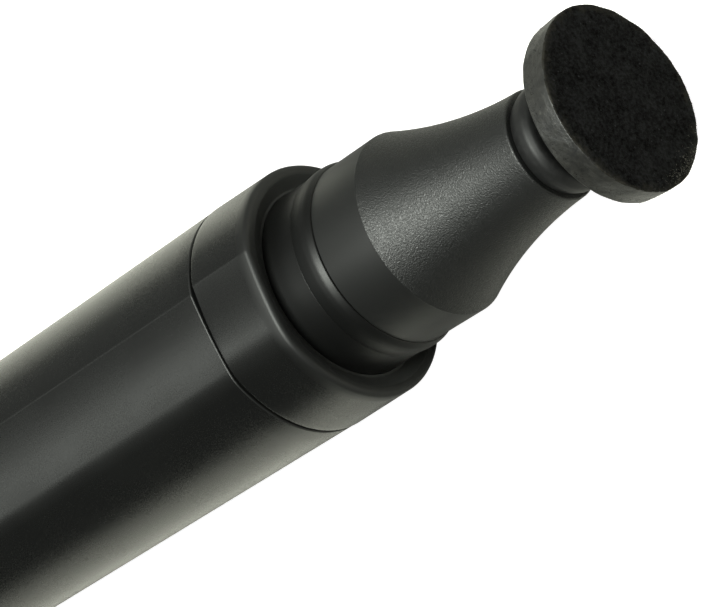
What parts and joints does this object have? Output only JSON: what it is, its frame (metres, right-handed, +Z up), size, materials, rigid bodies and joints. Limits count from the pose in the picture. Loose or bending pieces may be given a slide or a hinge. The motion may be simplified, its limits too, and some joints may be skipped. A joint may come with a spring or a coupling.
{
  "type": "lens cleaning pen",
  "caption": "Pen-shaped lens cleaner with a round suede pad on a flexible neck, a slide-out brush at the rear and a pull-off cap.",
  "frame": {"origin": "on the surface the pen lies on, under the seam between barrel and collar, which is the middle of the row's box with the cap pulled off", "axes": "+X along the pen towards the suede tip, +Z up, away from the surface the pen lies on, +Y to the pen's left"},
  "size_m": [0.16, 0.0156, 0.0161],
  "materials": {
    "barrel_plastic": "satin black moulded plastic with soft highlights",
    "spigot_plastic": "satin black moulded plastic",
    "nose_plastic": "satin black, fine spark-eroded grain on the cone",
    "neck_rubber": "smooth black rubber, slightly glossy",
    "inner_plastic": "plain dark moulded plastic",
    "foam": "dark grey-brown foam edge with worn fuzz",
    "suede": "near-black napped suede loaded with carbon",
    "sponge": "black open sponge with carbon compound",
    "ferrule_metal": "brushed, crimped",
    "hair": "fine natural goat hair",
    "slider_plastic": "satin black, ribbed"
  },
  "bodies": {
    "root": {"barrel": "barrel_plastic", "rear_bezel": "barrel_plastic", "front_collar": "barrel_plastic", "spigot_sleeve": "spigot_plastic", "cap_grip_ring": "spigot_plastic", "nose_cone": "nose_plastic", "neck_bushing": "neck_rubber", "bulkhead_plug": "inner_plastic", "guide_sleeve": "inner_plastic"},
    "neck": {"neck_ball": "neck_rubber"},
    "tip": {"pad_holder": "inner_plastic", "foam_pad": "foam", "suede_face": "suede"},
    "brush": {"brush_carrier": "inner_plastic", "brush_ferrule": "ferrule_metal", "bristles": "hair", "thumb_slider": "slider_plastic"},
    "cap": {"cap_shell": "barrel_plastic", "cap_liner": "inner_plastic", "charge_cup": "inner_plastic", "carbon_sponge": "sponge", "cap_end_plug": "barrel_plastic"}
  },
  "joints": [
    {"name": "neck_nod", "type": "hinge", "parent": "root", "child": "neck", "pos_m": [0.0259, 0, 0.00762], "axis": [0, 1, 0], "range_deg": [-8, 8], "stiffness_Nm_per_rad": 0.02},
    {"name": "neck_sway", "type": "hinge", "parent": "neck", "child": "tip", "pos_m": [0.0259, 0, 0.00762], "axis": [0, 0, 1], "range_deg": [-8, 8], "stiffness_Nm_per_rad": 0.02},
    {"name": "brush_slide", "type": "slide", "parent": "root", "child": "brush", "axis": [-1, 0, 0], "range_m": [0, 0.015]},
    {"name": "cap_pull", "type": "slide", "parent": "root", "child": "cap", "axis": [1, 0, 0], "range_m": [-0.0438, 0]}
  ]
}
